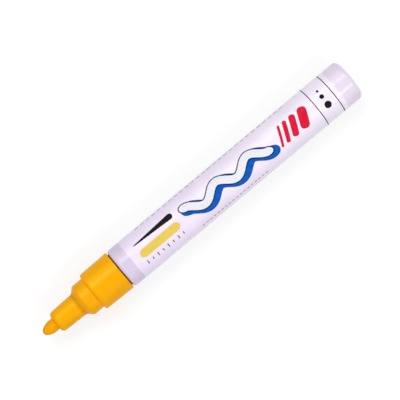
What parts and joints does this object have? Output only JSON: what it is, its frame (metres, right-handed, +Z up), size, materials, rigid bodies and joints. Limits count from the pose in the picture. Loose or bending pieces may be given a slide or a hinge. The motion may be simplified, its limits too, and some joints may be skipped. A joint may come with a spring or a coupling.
{
  "type": "paint marker",
  "caption": "Uncapped paint marker: white metal barrel, stepped amber collar and a bullet nib that opens a sprung valve when pressed; a loose ball inside stirs the paint.",
  "frame": {"origin": "on the surface that the marker lies on, under the middle of its length", "axes": "+X along the marker from the nib to the tail, +Z up, +Y to its left seen from the nib's end"},
  "size_m": [0.1326, 0.015, 0.015],
  "materials": {
    "lacquered_barrel": "gloss",
    "amber_plastic": "satin",
    "nib_fibre": "matte",
    "valve_plastic": "satin",
    "stem_plastic": "satin",
    "packing_rubber": "matte",
    "spring_steel": "polished",
    "ball_steel": "polished"
  },
  "bodies": {
    "housing": {"barrel": "lacquered_barrel", "collar": "amber_plastic", "valve_packing": "packing_rubber", "valve_body": "valve_plastic", "spring_retainer": "valve_plastic", "valve_spring": "spring_steel"},
    "nib_slider": {"nib": "nib_fibre"},
    "valve_plunger": {"valve_stem": "stem_plastic"},
    "stirrer": {"mixing_ball": "ball_steel"}
  },
  "joints": [
    {"name": "nib_press", "type": "slide", "parent": "housing", "child": "nib_slider", "axis": [1, 0, 0], "range_m": [0, 0.002], "stiffness_N_per_m": 300, "springref_m": -0.0003, "deforming": ["valve_spring"]},
    {"name": "valve_lift", "type": "slide", "parent": "housing", "child": "valve_plunger", "axis": [1, 0, 0], "range_m": [0, 0.002], "deforming": ["valve_spring"]},
    {"name": "ball_roll", "type": "slide", "parent": "housing", "child": "stirrer", "axis": [1, 0, 0], "range_m": [-0.0392, 0.0392]}
  ],
  "couplings": [
    {"joint": "valve_lift", "follows": "nib_press", "ratio": 1}
  ]
}
